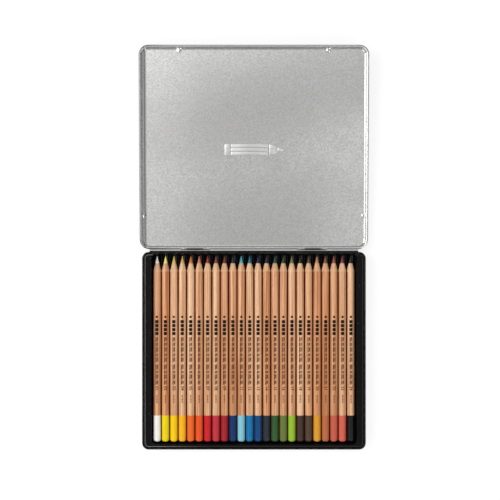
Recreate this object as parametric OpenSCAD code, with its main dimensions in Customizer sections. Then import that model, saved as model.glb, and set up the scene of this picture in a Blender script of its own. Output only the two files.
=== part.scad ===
// Flat hinged tin for colored pencils, shown open from above: the black base holds a channelled
// tray with a row of round pencils, and the bare-metal lid is folded back behind it.
// Frame: origin at the centre of the base's underside, +X to the right, +Y towards the hinge, +Z up.

/* [Pencils] */
// Number of pencils in the row
pencil_count = 24; // [6:1:24]
// Diameter of a pencil's wooden barrel
pencil_d = 7.5; // [6.5:0.1:8.5]
// Length of a sharpened pencil, tip to dipped end
pencil_length = 175; // [120:1:180]
// Diameter of the colored lead
lead_d = 3.7; // [2:0.1:4.5]
// Length of the sharpened cone, lead and wood together
cone_length = 14.6; // [10:0.2:24]
// Radius of the lead's rounded point
lead_tip_r = 0.3; // [0.1:0.05:0.6]
// Length of the lacquer dip on the blunt end
dip_length = 25; // [5:1:60]
// Thickness of the lacquer dip on the wood
dip_skin = 0.06; // [0.04:0.01:0.15]
// Radius of the dipped end's rounded edge
dip_round = 2.4; // [0.5:0.1:3]
// Glue gap between lead and wood, on the radius
glue_gap = 0.05; // [0.03:0.01:0.1]

/* [Tray] */
// Gap between neighbouring pencils
pencil_gap = 0.43; // [0.3:0.01:1.5]
// Thickness of the formed plastic
tray_wall = 0.8; // [0.5:0.05:1.2]
// Gap between a pencil and its channel
channel_gap = 0.25; // [0.15:0.05:0.5]
// Height of the ridges between channels, above the channel's lowest point
ridge_height = 2.2; // [1:0.1:3]
// Free length of a channel past each end of its pencil
channel_end_gap = 0.6; // [0.3:0.1:2]
// Width of the flat under each channel that stands on the base
channel_foot = 2.4; // [1:0.1:3.5]
// How far the well's walls lean outward towards the flange
well_slope = 1.2; // [0.4:0.1:1.6]
// Radius of the well's corners at the flange
well_corner_r = 4; // [3:0.1:4.4]
// Height of the small bead that runs round the flange
flange_bead = 0.5; // [0.2:0.1:1]
// Gap between that bead and the base's curl, seen from above
bead_gap = 0.2; // [0.1:0.05:0.5]
// Gap between the tray's flange and the base's wall
tray_fit = 0.25; // [0.1:0.05:0.5]

/* [Base tin] */
// Thickness of the base's sheet
base_sheet = 0.35; // [0.25:0.05:0.6]
// Height of the base tin, underside to rim
base_height = 13; // [12.4:0.1:16]
// Diameter of the rim's inward curl
base_curl_d = 2; // [1.6:0.1:2.6]
// Outer radius of the base's corners, seen from above
base_corner_r = 6.2; // [5:0.1:9]
// Outer radius of the bend between floor and wall
floor_bend_r = 2; // [1:0.1:2.4]
// Width from the outer pencils' channels to the base's sides
side_margin = 9.5; // [8:0.1:20]
// Depth from the dipped ends to the base's front
front_margin = 6.2; // [5.4:0.1:15]
// Depth from the pencil tips to the base's back
rear_margin = 3.8; // [3.6:0.1:15]

/* [Lid] */
// Thickness of the lid's sheet
lid_sheet = 0.3; // [0.25:0.05:0.6]
// Gap between the base's wall and the lid's skirt, closed
lid_fit = 0.6; // [0.5:0.05:1]
// Gap between the base's rim and the lid's panel, closed
lid_headroom = 0.7; // [0.3:0.1:2]
// Diameter of the outward curl round the lid's rim
lid_curl_d = 2.3; // [1.8:0.1:2.8]
// Outer radius of the bend between panel and skirt
panel_bend_r = 2; // [1:0.1:2.4]
// Angle to which the lid is open
open_angle = 177; // [90:1:180]
// Depth of a pressed snap nub
nub_depth = 0.4; // [0.2:0.05:0.45]
// Height of a pressed snap nub on the skirt's inner face
nub_height = 3; // [2:0.1:3.2]
// Width of a pressed snap nub
nub_width = 5; // [3.5:0.1:8]
// Distance of the front nubs from the tin's middle
front_nub_x = 70; // [30:1:85]
// Distance of the side nubs from the lid's hinge side
side_nub_y = 30; // [20:1:80]

/* [Hinge] */
// Thickness of the hinge rail's sheet
rail_sheet = 0.5; // [0.4:0.05:0.6]
// Diameter of the rail's rolled edge
rail_curl_d = 2.4; // [2.2:0.1:2.8]
// Distance by which the rail stops short of the straight part of the back, each end
rail_end_gap = 0.3; // [0.2:0.1:10]
// Height of the rail's flat flange on the base's back
rail_flange = 3.4; // [2:0.1:4]
// Height of the lid's panel above the table when it is folded flat back
panel_clear = 0.4; // [0.1:0.1:2]
// Gap between the rail's roll and the lid's curl, fully open and fully closed
roll_gap = 0.12; // [0.08:0.01:0.3]
// Diameter of the hinge pin
pin_d = 0.9; // [0.7:0.05:1]
// Running gap between pin and knuckle, on the radius
pin_fit = 0.05; // [0.02:0.01:0.09]
// Thickness of a knuckle's wall
knuckle_wall = 0.35; // [0.3:0.05:0.5]
// Thickness of the neck between a knuckle and the rail
knuckle_neck = 1.19; // [0.9:0.01:1.4]
// Length of the rail's middle knuckle
knuckle_length = 20; // [8:0.5:40]
// Length of each of the lid's ears beside it
ear_length = 3; // [2:0.1:6]
// Gap between knuckle and ear along the pin
ear_gap = 0.3; // [0.2:0.05:0.6]
// Gap round a knuckle where it turns in the other roll
knuckle_relief = 0.25; // [0.15:0.05:0.4]
// Distance of each hinge from the tin's middle
hinge_x = 55; // [30:1:70]

/* [Hidden] */
$fn = 48;
eps = 0.01;

// Pencil row
pencil_r = pencil_d / 2;
lead_r = lead_d / 2;
bore_r = lead_r + glue_gap;
dip_r = pencil_r + dip_skin;
dip_cap = 0.5;
pitch = pencil_d + pencil_gap;
channel_r = pencil_r + channel_gap;
cone_rise = (pencil_r - lead_tip_r) / (cone_length - lead_tip_r);
lead_shown = lead_tip_r + (bore_r - lead_tip_r) / cone_rise;
row_width = (pencil_count - 1) * pitch + 2 * channel_r;

// Base outline
base_w = row_width + 2 * side_margin;
base_d = pencil_length + front_margin + rear_margin;
front_y = -base_d / 2;
rear_y = base_d / 2;
blunt_y = front_y + front_margin;
base_curl_r = base_curl_d / 2;
sheet_lap = 1;

// Tray levels and outline
trough_r = channel_r + tray_wall;
trough_z = base_sheet + sqrt(pow(trough_r, 2) - pow(channel_foot / 2, 2));
ridge_z = trough_z - channel_r + ridge_height;
flange_z = base_height - base_curl_d - tray_wall;
tray_w = base_w - 2 * (base_sheet + tray_fit);
tray_d = base_d - 2 * (base_sheet + tray_fit);
tray_corner_r = base_corner_r - base_sheet - tray_fit;
channel_y0 = blunt_y - channel_end_gap;
channel_y1 = blunt_y + pencil_length + channel_end_gap;
well_w = row_width + 2 * well_slope;
well_d = channel_y1 - channel_y0 + 2 * well_slope;
well_y = (channel_y0 + channel_y1) / 2;
bead_inset = base_curl_d - base_sheet - tray_fit + flange_bead + bead_gap;

// Closed lid
lid_height = base_height + lid_headroom + lid_sheet;
lid_w = base_w + 2 * (lid_fit + lid_sheet);
lid_d = base_d + 2 * (lid_fit + lid_sheet);
lid_corner_r = base_corner_r + lid_fit + lid_sheet;
lid_curl_r = lid_curl_d / 2;
lid_curl_out = lid_curl_r - lid_sheet;
nub_r = (pow(nub_height / 2, 2) + pow(nub_depth, 2)) / (2 * nub_depth);

// Hinge: the lid's curl rests above the rail's roll when closed and beside it when flat open, so
// the pin lies midway between those two places.
rail_r = rail_curl_d / 2;
roll_reach = rail_r + lid_curl_r + roll_gap;
rail_y = rear_y + rail_r;
curl_closed_y = rear_y + lid_fit + lid_curl_r;
pin_rise = sqrt(pow(roll_reach, 2) - pow(curl_closed_y - rail_y, 2)) / 2;
pin_y = (curl_closed_y + rail_y + roll_reach) / 2;
pin_z = lid_height / 2 + panel_clear;
rail_z = pin_z - pin_rise;
curl_closed_z = pin_z + pin_rise;
nub_z = (curl_closed_z + lid_height - panel_bend_r) / 2;
pin_r = pin_d / 2;
knuckle_bore_r = pin_r + pin_fit;
knuckle_r = knuckle_bore_r + knuckle_wall;
relief_r = knuckle_r + knuckle_relief;
knuckle_mid_r = knuckle_bore_r + knuckle_wall / 2;
rail_bearing = atan2(rail_z - pin_z, rail_y - pin_y);
rail_distance = norm([rail_z - pin_z, rail_y - pin_y]);
ear_x = knuckle_length / 2 + ear_gap;
hinge_length = 2 * (ear_x + ear_length);
rail_length = base_w - 2 * (base_corner_r + rail_end_gap);

// Colors of the leads and dipped ends, in the order of the row
dip_colors = [
    "white", "yellow", "gold", "orange", "darkorange", "orangered",
    "crimson", "indianred", "firebrick", "midnightblue", "skyblue", "steelblue",
    "darkslateblue", "darkslategray", "darkgreen", "olivedrab", "yellowgreen", "dimgray",
    "saddlebrown", "goldenrod", "sienna", "tomato", "salmon", "black"
];

// A rectangle with round corners, centred on the origin.
module round_rect(w, d, r) {
    union() {
        square([w - 2 * r, d], center = true);
        square([w, d - 2 * r], center = true);
        for (sx = [-1, 1], sy = [-1, 1])
            translate([sx * (w / 2 - r), sy * (d / 2 - r)])
                circle(r);
    }
}

// Carries a wall's section, drawn as outward offset by height, once round a rounded rectangle.
module sweep_round_rect(w, d, r) {
    for (quarter = [0:3]) {
        across = quarter % 2 == 0 ? d : w;
        along = quarter % 2 == 0 ? w : d;
        rotate(90 * quarter) {
            translate([along / 2, across / 2 - r, 0])
                rotate([90, 0, 0])
                    linear_extrude(across - 2 * r)
                        children();
            translate([along / 2 - r, across / 2 - r, 0])
                rotate_extrude(angle = 90)
                    translate([r, 0])
                        children();
        }
    }
}

// A quarter ring of sheet from straight down to straight outward, its centre at the origin.
module bend_section(r, sheet) {
    intersection() {
        difference() {
            circle(r);
            circle(r - sheet);
        }
        translate([0, -r])
            square(r);
    }
}

// Three quarters of a rolled edge; side and level say where the open quarter lies.
module curl_section(r, sheet, side, level) {
    difference() {
        circle(r);
        circle(r - sheet);
        translate([side < 0 ? -2 * r : 0, level < 0 ? -2 * r : 0])
            square(2 * r);
    }
}

// Wall of the base: the floor's edge, its bend, the upright and a rim curled inward.
module base_wall_section() {
    translate([-floor_bend_r - sheet_lap, 0])
        square([sheet_lap, base_sheet]);
    translate([-base_sheet, floor_bend_r])
        square([base_sheet, base_height - base_curl_r - floor_bend_r]);
    translate([-floor_bend_r, floor_bend_r])
        bend_section(floor_bend_r, base_sheet);
    translate([-base_curl_r, base_height - base_curl_r])
        curl_section(base_curl_r, base_sheet, 1, -1);
}

module base_tin() {
    color("black")
        union() {
            sweep_round_rect(base_w, base_d, base_corner_r)
                base_wall_section();
            linear_extrude(base_sheet)
                round_rect(base_w - 2 * floor_bend_r, base_d - 2 * floor_bend_r,
                    base_corner_r - floor_bend_r);
        }
}

function channel_x(i) = (i - (pencil_count - 1) / 2) * pitch;

// Section of the channelled floor, from the flats under the troughs to the flat-topped ridges.
module channel_section() {
    difference() {
        for (i = [0:pencil_count - 1])
            translate([channel_x(i), trough_z])
                circle(trough_r);
        for (i = [0:pencil_count - 1])
            translate([channel_x(i), trough_z])
                circle(channel_r);
        translate([channel_x(0), ridge_z])
            square([channel_x(pencil_count - 1) - channel_x(0), 2 * trough_r]);
        translate([-row_width, trough_z])
            square([2 * row_width, 2 * trough_r]);
        translate([-row_width, base_sheet - 2 * trough_r])
            square([2 * row_width, 2 * trough_r]);
    }
}

// The well's leaning wall, as offset from the well's outline at the flange.
module well_section() {
    polygon([
        [0, flange_z + tray_wall],
        [-well_slope, trough_z],
        [-well_slope + tray_wall, trough_z],
        [tray_wall, flange_z + tray_wall]
    ]);
}

module end_wall(y) {
    translate([-row_width / 2 - tray_wall, y, base_sheet])
        cube([row_width + 2 * tray_wall, tray_wall, trough_z - base_sheet]);
}

module flange_bead_ring() {
    translate([0, 0, flange_z + tray_wall])
        sweep_round_rect(tray_w - 2 * bead_inset, tray_d - 2 * bead_inset,
                tray_corner_r - bead_inset)
            circle(flange_bead);
}

// Tray of formed plastic: channels, end walls, leaning well walls and a beaded flange.
module pencil_tray() {
    color("dimgray")
        union() {
            translate([0, channel_y1 + tray_wall / 2, 0])
                rotate([90, 0, 0])
                    linear_extrude(channel_y1 - channel_y0 + tray_wall)
                        channel_section();
            end_wall(channel_y0 - tray_wall);
            end_wall(channel_y1);
            translate([0, well_y, 0])
                sweep_round_rect(well_w, well_d, well_corner_r)
                    well_section();
            difference() {
                union() {
                    translate([0, 0, flange_z])
                        linear_extrude(tray_wall)
                            round_rect(tray_w, tray_d, tray_corner_r);
                    flange_bead_ring();
                }
                translate([0, well_y, 0])
                    linear_extrude(base_height)
                        round_rect(well_w, well_d, well_corner_r);
            }
        }
}

// Carries a section, drawn as (y, z), along the hinge line.
module along_x(length, middle) {
    translate([middle - length / 2, 0, 0])
        rotate([90, 0, 90])
            linear_extrude(length)
                children();
}

module hinge_rod(r, length, middle) {
    along_x(length, middle)
        translate([pin_y, pin_z])
            circle(r);
}

// Rolled rail on the base's back, relieved where the lid's ears turn, with the middle knuckles.
module hinge_rail() {
    color("silver")
        difference() {
            union() {
                difference() {
                    along_x(rail_length, 0) {
                        translate([rear_y, rail_z - rail_flange])
                            square([rail_sheet, rail_flange]);
                        translate([rail_y, rail_z])
                            curl_section(rail_r, rail_sheet, -1, -1);
                    }
                    for (side = [-1, 1])
                        hinge_rod(relief_r, hinge_length + 2 * ear_gap, side * hinge_x);
                }
                for (side = [-1, 1])
                    along_x(knuckle_length, side * hinge_x)
                        knuckle_on_rail_section();
            }
            for (side = [-1, 1])
                hinge_rod(knuckle_bore_r, hinge_length + 2 * ear_gap, side * hinge_x);
        }
}

// Knuckle, and the neck that carries it on the rail's roll.
module knuckle_on_rail_section() {
    translate([pin_y, pin_z]) {
        circle(knuckle_r);
        rotate(rail_bearing)
            translate([knuckle_mid_r, -knuckle_neck / 2])
                square([rail_distance - rail_r + rail_sheet / 2 - knuckle_mid_r,
                    knuckle_neck]);
    }
}

module hinge_pin(side) {
    color("gray")
        hinge_rod(pin_r, hinge_length, side * hinge_x);
}

// Wall of the closed lid with the panel's edge, as offset from the skirt's outer face.
module lid_wall_section() {
    translate([-panel_bend_r - sheet_lap, lid_height - lid_sheet])
        square([sheet_lap, lid_sheet]);
    translate([-lid_sheet, curl_closed_z])
        square([lid_sheet, lid_height - panel_bend_r - curl_closed_z]);
    translate([-panel_bend_r, lid_height - panel_bend_r])
        mirror([0, 1])
            bend_section(panel_bend_r, lid_sheet);
    translate([lid_curl_out, curl_closed_z])
        curl_section(lid_curl_r, lid_sheet, -1, 1);
}

// Oblong rod with round ends whose innermost line lies nub_depth inside the skirt.
module nub_form(r) {
    straight = (nub_width - nub_height) / 2;
    translate([nub_r - lid_sheet - nub_depth, 0, nub_z])
        rotate([90, 0, 0]) {
            cylinder(r = r, h = 2 * straight, center = true);
            for (end = [-1, 1])
                translate([0, 0, end * straight])
                    sphere(r);
        }
}

// Slab of space inward from a plane of the skirt, for trimming a nub; x is outward.
module inward_of(x) {
    translate([x - 2 * nub_r, -nub_width, nub_z - nub_r])
        cube([2 * nub_r, 2 * nub_width, 2 * nub_r]);
}

// Places a nub on the skirt: the front pair and one near the hinge on each side.
module at_nubs() {
    for (side = [-1, 1]) {
        translate([side * front_nub_x, -lid_d / 2, 0])
            rotate(-90)
                children();
        translate([side * lid_w / 2, lid_d / 2 - side_nub_y, 0])
            rotate(side > 0 ? 0 : 180)
                children();
    }
}

// Pressed sheet: the skirt with its bends and curl, and the nubs pushed inward at one thickness.
module lid_shell() {
    difference() {
        union() {
            sweep_round_rect(lid_w, lid_d, lid_corner_r)
                lid_wall_section();
            translate([0, 0, lid_height - lid_sheet])
                linear_extrude(lid_sheet)
                    round_rect(lid_w - 2 * panel_bend_r, lid_d - 2 * panel_bend_r,
                        lid_corner_r - panel_bend_r);
            at_nubs()
                intersection() {
                    nub_form(nub_r);
                    inward_of(-lid_sheet / 2);
                }
        }
        at_nubs()
            intersection() {
                nub_form(nub_r - lid_sheet);
                inward_of(eps);
            }
    }
}

// The lid as it lies closed on the base: shell, relief for the rail's knuckles, and the ears.
module closed_lid() {
    difference() {
        union() {
            difference() {
                lid_shell();
                for (side = [-1, 1])
                    hinge_rod(relief_r, 2 * ear_x, side * hinge_x);
            }
            for (side = [-1, 1], end = [-1, 1])
                hinge_rod(knuckle_r, ear_length,
                    side * hinge_x + end * (ear_x + ear_length / 2));
        }
        for (side = [-1, 1])
            hinge_rod(knuckle_bore_r, hinge_length + 2 * ear_gap, side * hinge_x);
    }
}

module lid_tin() {
    color("silver")
        translate([0, pin_y, pin_z])
            rotate([-open_angle, 0, 0])
                translate([0, -pin_y, -pin_z])
                    closed_lid();
}

// Places a pencil's half section, drawn as radius by distance from the blunt end, in its channel.
module revolve_pencil(i) {
    translate([channel_x(i), blunt_y, trough_z])
        rotate([-90, 0, 0])
            rotate_extrude()
                children();
}

// Dipped end: a skin of lacquer over the wood with a rounded edge.
module dip_half_section() {
    intersection() {
        square([dip_r, dip_length]);
        union() {
            translate([0, dip_round])
                square([dip_r, dip_length]);
            square([dip_r - dip_round, dip_round]);
            translate([dip_r - dip_round, dip_round])
                circle(dip_round);
        }
    }
}

// Round wooden casing, bored for the lead, with its dipped end and sharpened cone.
module pencil_casing(i) {
    color(dip_colors[i % len(dip_colors)])
        revolve_pencil(i)
            difference() {
                union() {
                    dip_half_section();
                    polygon([
                        [0, dip_length - dip_cap],
                        [pencil_r, dip_length - dip_cap],
                        [pencil_r, pencil_length - cone_length],
                        [bore_r, pencil_length - lead_shown],
                        [0, pencil_length - lead_shown]
                    ]);
                }
                translate([0, dip_cap])
                    square([bore_r, pencil_length]);
            }
}

module pencil_lead(i) {
    color(dip_colors[i % len(dip_colors)])
        revolve_pencil(i) {
            polygon([
                [0, dip_cap],
                [lead_r, dip_cap],
                [lead_r, pencil_length - lead_tip_r - (lead_r - lead_tip_r) / cone_rise],
                [lead_tip_r, pencil_length - lead_tip_r],
                [0, pencil_length - lead_tip_r]
            ]);
            translate([0, pencil_length - lead_tip_r])
                intersection() {
                    circle(lead_tip_r);
                    square(lead_tip_r);
                }
        }
}

base_tin();
pencil_tray();
hinge_rail();
hinge_pin(-1);  // hinge_pin_left
hinge_pin(1);  // hinge_pin_right
lid_tin();
for (n = [1:pencil_count]) {
    pencil_casing(n - 1);
    pencil_lead(n - 1);
}
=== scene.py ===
# %% [markdown]
# # A flat hinged tin of colored pencils, seen from straight above
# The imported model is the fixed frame: every solid is already at its real place and size, in
# metres, with the tin's underside on the table at height 0, the hinge towards +Y and the pencils'
# points towards +Y. This file gives each solid its finish and adds what is too thin to be a solid.

# %% Load the frame
import math

import bpy
from mathutils import Matrix, Vector


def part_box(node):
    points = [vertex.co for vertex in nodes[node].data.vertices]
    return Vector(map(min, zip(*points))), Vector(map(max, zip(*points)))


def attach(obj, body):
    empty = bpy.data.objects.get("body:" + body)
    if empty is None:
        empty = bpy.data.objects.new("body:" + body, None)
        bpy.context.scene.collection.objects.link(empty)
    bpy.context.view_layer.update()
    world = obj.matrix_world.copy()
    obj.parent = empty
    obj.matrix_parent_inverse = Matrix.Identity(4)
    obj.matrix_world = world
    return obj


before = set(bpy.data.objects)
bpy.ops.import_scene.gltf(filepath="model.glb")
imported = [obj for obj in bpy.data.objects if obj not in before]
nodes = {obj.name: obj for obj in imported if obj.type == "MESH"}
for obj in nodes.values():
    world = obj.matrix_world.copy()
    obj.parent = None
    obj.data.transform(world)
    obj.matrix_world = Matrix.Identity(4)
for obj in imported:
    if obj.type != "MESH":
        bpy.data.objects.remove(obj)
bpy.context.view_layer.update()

# %% [markdown]
# Everything that follows needs a few measures of the real tin. They are read from the solids
# where a solid shows them, and repeated from the part's own source where it doesn't.

# %% Measures of the tin
MM = 0.001
PENCILS = 24
barrel_r = 3.75 * MM
dip_length = 25 * MM
cone_length = 14.6 * MM
first_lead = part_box("pencil_lead_1")
last_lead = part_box("pencil_lead_24")
dip_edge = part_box("pencil_casing_1")[0].y + dip_length
cone_edge = first_lead[1].y - cone_length
axis_height = (first_lead[0].z + first_lead[1].z) / 2
first_x = (first_lead[0].x + first_lead[1].x) / 2
last_x = (last_lead[0].x + last_lead[1].x) / 2
pitch = (last_x - first_x) / (PENCILS - 1)
pin_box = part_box("hinge_pin_left")
pin = Vector((0, (pin_box[0].y + pin_box[1].y) / 2, (pin_box[0].z + pin_box[1].z) / 2))
open_angle = math.radians(177)
rim_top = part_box("base_tin")[1].z
lid_height = 14 * MM
lid_sheet = 0.3 * MM
print("pitch", round(pitch / MM, 3), "pin", [round(v / MM, 2) for v in pin])

# %% [markdown]
# The camera looks straight down, as in the photograph, from a little under a metre: the raised
# far edge of the lid then shows just as much larger as it does there. The tin stands slightly
# right of the middle of the frame.

# %% Camera
camera_height = 900 * MM
camera_data = bpy.data.cameras.new("camera")
camera_data.sensor_width = 36
camera_data.lens = 68.3
camera_data.clip_end = 20
camera = bpy.data.objects.new("camera", camera_data)
camera.location = (-3.7 * MM, 94.3 * MM, camera_height)
bpy.context.scene.collection.objects.link(camera)
bpy.context.scene.camera = camera
print("camera at", [round(v / MM, 1) for v in camera.location])

# %% [markdown]
# Node trees are easier to read when each node is one short line. These helpers add a node, join
# its sockets and hand back the result. They are used by every finish below.

# %% Helpers for node trees
def plug(tree, node, inputs):
    """Joins each named input to the output that it is given, or sets it to a plain value."""
    for name, value in inputs.items():
        socket = node.inputs[name]
        if isinstance(value, bpy.types.NodeSocket):
            tree.links.new(value, socket)
        else:
            socket.default_value = value


def put(tree, kind, inputs, **settings):
    node = tree.nodes.new("ShaderNode" + kind)
    for name, value in settings.items():
        setattr(node, name, value)
    plug(tree, node, inputs)
    return node


def calc(tree, operation, a, b=0.0):
    return put(tree, "Math", {0: a, 1: b}, operation=operation).outputs[0]


def between(tree, value, low, high):
    """0 below low, 1 above high and a soft step between them; high may be the smaller one."""
    return put(tree, "MapRange", {"Value": value, "From Min": low, "From Max": high},
               interpolation_type="SMOOTHSTEP").outputs[0]


def spread(tree, value, low, high):
    """Carries a value from 0..1 to low..high."""
    return put(tree, "MapRange", {"Value": value, "To Min": low, "To Max": high}).outputs[0]


def past(tree, value, limit):
    """How far the size of value is past a limit, or 0."""
    return calc(tree, "MAXIMUM", calc(tree, "SUBTRACT", calc(tree, "ABSOLUTE", value), limit), 0.0)


def reach(tree, a, b):
    """How far a point lies that is a away in one direction and b across it."""
    return calc(tree, "SQRT", calc(tree, "ADD", calc(tree, "MULTIPLY", a, a),
                                   calc(tree, "MULTIPLY", b, b)))


print("number helpers ready")

# %% [markdown]
# Two finishes are blended by a Mix node, and a pattern is stretched or turned by a Mapping node
# before a noise reads it. Colors are written as they look on a screen, and the last helper turns
# them into the linear values that a shader takes.

# %% Helpers for blends, patterns and colors
def mix(tree, share, a, b):
    return put(tree, "Mix", {0: share, 6: a, 7: b}, data_type="RGBA").outputs[2]


def mix_value(tree, share, a, b):
    return put(tree, "Mix", {0: share, 2: a, 3: b}, data_type="FLOAT").outputs[0]


def stretched(tree, vector, scale, turn=(0, 0, 0), move=(0, 0, 0)):
    return put(tree, "Mapping", {"Vector": vector, "Scale": scale, "Rotation": turn,
                                 "Location": move}).outputs[0]


def noise(tree, vector, scale, detail, roughness=0.5, distortion=0.0):
    return put(tree, "TexNoise", {"Vector": vector, "Scale": scale, "Detail": detail,
                                  "Roughness": roughness, "Distortion": distortion}).outputs[0]


def rgb(red, green, blue):
    """A color written as it looks, 0..1, turned into the linear value that a shader takes."""
    turned = [c / 12.92 if c <= 0.04045 else ((c + 0.055) / 1.055) ** 2.4
              for c in (red, green, blue)]
    return (*turned, 1.0)


print("color helpers ready; middle grey is", round(rgb(0.5, 0.5, 0.5)[0], 3))

# %% [markdown]
# An effect that several finishes share is a node group: built once, with named inputs and
# outputs, and placed in each material with its own values. This helper starts one.

# %% Helper for shared effects
def start_group(name, inputs, outputs):
    group = bpy.data.node_groups.new(name, "ShaderNodeTree")
    for title, kind, value in inputs:
        socket = group.interface.new_socket(name=title, in_out="INPUT", socket_type=kind)
        if value is not None:
            socket.default_value = value
    for title, kind in outputs:
        group.interface.new_socket(name=title, in_out="OUTPUT", socket_type=kind)
    return group, group.nodes.new("NodeGroupInput").outputs, \
        group.nodes.new("NodeGroupOutput").inputs


def use_group(tree, group, inputs):
    node = tree.nodes.new("ShaderNodeGroup")
    node.node_tree = group
    plug(tree, node, inputs)
    return node.outputs


VALUE, VECTOR, COLOR = "NodeSocketFloat", "NodeSocketVector", "NodeSocketColor"
print("group helpers ready")

# %% [markdown]
# Handling leaves hairline scratches that run every way, soft smudges and a few specks of dust.
# A scratch is a thin contour of a long stretched noise, and a patchy mask breaks it up.

# %% Shared effect: handling marks
handling, enter, leave = start_group(
    "handling_marks",
    [("Vector", VECTOR, None), ("Scratch Scale", VALUE, 60.0), ("Speck Scale", VALUE, 500.0)],
    [("Scratches", VALUE), ("Smudges", VALUE), ("Specks", VALUE)])
hair = 0.006
speck_share, speck_r = 0.07, 0.22
lines = None
for turn, seed in ((0.5, 3.1), (-0.9, 7.7), (1.9, 12.3)):
    along = stretched(handling, enter["Vector"], (14, 1, 1), (0.0, 0.0, turn), (seed, seed, seed))
    wave = noise(handling, along, enter["Scratch Scale"], 1.0, 0.4)
    off_middle = calc(handling, "ABSOLUTE", calc(handling, "SUBTRACT", wave, 0.5))
    aside = stretched(handling, enter["Vector"], (1, 1, 1), (0, 0, 0), (seed * 2, 0, 0))
    patch = between(handling, noise(handling, aside, 45.0, 2.0), 0.55, 0.7)
    line = calc(handling, "MULTIPLY", between(handling, off_middle, hair, 0.0), patch)
    lines = line if lines is None else calc(handling, "MAXIMUM", lines, line)
handling.links.new(lines, leave["Scratches"])
smudge = noise(handling, enter["Vector"], 32.0, 4.0, 0.6, 0.4)
handling.links.new(between(handling, smudge, 0.42, 0.72), leave["Smudges"])
speck = put(handling, "TexVoronoi", {"Vector": enter["Vector"], "Scale": enter["Speck Scale"]})
few = put(handling, "TexWhiteNoise", {"Vector": speck.outputs["Position"]},
          noise_dimensions="3D").outputs[0]
speck_size = calc(handling, "MULTIPLY", between(handling, few, 1 - speck_share, 1.0), speck_r)
handling.links.new(calc(handling, "LESS_THAN", speck.outputs["Distance"], speck_size),
                   leave["Specks"])
print("handling marks:", len(handling.nodes), "nodes")

# %% [markdown]
# Tinplate is steel sheet with a thin skin of tin. The skin froze on a ground, slightly rough
# sheet, so its tone and gloss change from one small grain to the next and it looks mottled,
# never like a mirror. Height gives the grain its sparkle under a lamp.

# %% Shared effect: tinplate
tinplate, enter, leave = start_group(
    "tinplate", [("Vector", VECTOR, None), ("Grain", VALUE, 1.0)],
    [("Color", COLOR), ("Roughness", VALUE), ("Height", VALUE)])
grain_place = put(tinplate, "VectorMath", {0: enter["Vector"]}, operation="SCALE")
tinplate.links.new(enter["Grain"], grain_place.inputs["Scale"])
grain_place = grain_place.outputs[0]
coarse = noise(tinplate, grain_place, 700.0, 1.5, 0.5, 0.3)
fine = noise(tinplate, grain_place, 1900.0, 2.0, 0.6)
crystal = put(tinplate, "TexVoronoi", {"Vector": grain_place, "Scale": 900.0,
                                       "Randomness": 1.0}).outputs["Color"]
crystal = put(tinplate, "SeparateColor", {"Color": crystal}).outputs[0]
cloud = noise(tinplate, enter["Vector"], 16.0, 3.0, 0.5)
tone = calc(tinplate, "ADD", calc(tinplate, "MULTIPLY", coarse, 0.5),
            calc(tinplate, "MULTIPLY", fine, 0.3))
tone = calc(tinplate, "ADD", tone, calc(tinplate, "MULTIPLY", crystal, 0.2))
mottled = between(tinplate, tone, 0.3, 0.7)
color = mix(tinplate, mottled, rgb(0.795, 0.795, 0.793), rgb(0.91, 0.908, 0.906))
color = mix(tinplate, calc(tinplate, "MULTIPLY", cloud, 0.16), color, rgb(0.82, 0.81, 0.80))
tinplate.links.new(color, leave["Color"])
tinplate.links.new(spread(tinplate, mottled, 0.17, 0.12), leave["Roughness"])
tinplate.links.new(calc(tinplate, "ADD", calc(tinplate, "MULTIPLY", coarse, 0.6),
                        calc(tinplate, "MULTIPLY", fine, 0.4)), leave["Height"])
print("tinplate:", len(tinplate.nodes), "nodes")

# %% [markdown]
# The outside of the tin is stove enamel: a thin black coat with a faint orange-peel surface. It
# dulls where it is handled and thins on the crowns of the edges, where the rub shows grey.

# %% Shared effect: black enamel
enamel, enter, leave = start_group(
    "black_enamel", [("Vector", VECTOR, None), ("Rub", VALUE, 0.0)],
    [("Color", COLOR), ("Roughness", VALUE), ("Height", VALUE)])
marks = use_group(enamel, handling, {"Vector": enter["Vector"], "Scratch Scale": 70.0,
                                     "Speck Scale": 420.0})
peel = noise(enamel, enter["Vector"], 900.0, 2.0, 0.5)
patchy = between(enamel, noise(enamel, enter["Vector"], 260.0, 3.0, 0.7), 0.45, 0.62)
rubbed = calc(enamel, "MULTIPLY", enter["Rub"], patchy)
color = mix(enamel, marks["Smudges"], rgb(0.022, 0.022, 0.023), rgb(0.045, 0.045, 0.047))
color = mix(enamel, calc(enamel, "MULTIPLY", marks["Scratches"], 0.35), color,
            rgb(0.42, 0.42, 0.43))
color = mix(enamel, calc(enamel, "MULTIPLY", rubbed, 0.5), color, rgb(0.45, 0.45, 0.46))
color = mix(enamel, calc(enamel, "MULTIPLY", marks["Specks"], 0.5), color, rgb(0.5, 0.48, 0.45))
enamel.links.new(color, leave["Color"])
gloss = spread(enamel, marks["Smudges"], 0.19, 0.28)
gloss = calc(enamel, "ADD", gloss, calc(enamel, "MULTIPLY", marks["Scratches"], 0.2))
enamel.links.new(gloss, leave["Roughness"])
enamel.links.new(calc(enamel, "SUBTRACT", calc(enamel, "MULTIPLY", peel, 0.6),
                      marks["Scratches"]), leave["Height"])
print("black enamel:", len(enamel.nodes), "nodes")

# %% [markdown]
# The pencils are cedar. Growth rings cross a pencil as broad streaks along it, the fibres are
# fine lines on top of them, and short dark pores lie between the fibres. The seed picks another
# piece of the slat for each pencil, so no two are alike.

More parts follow.
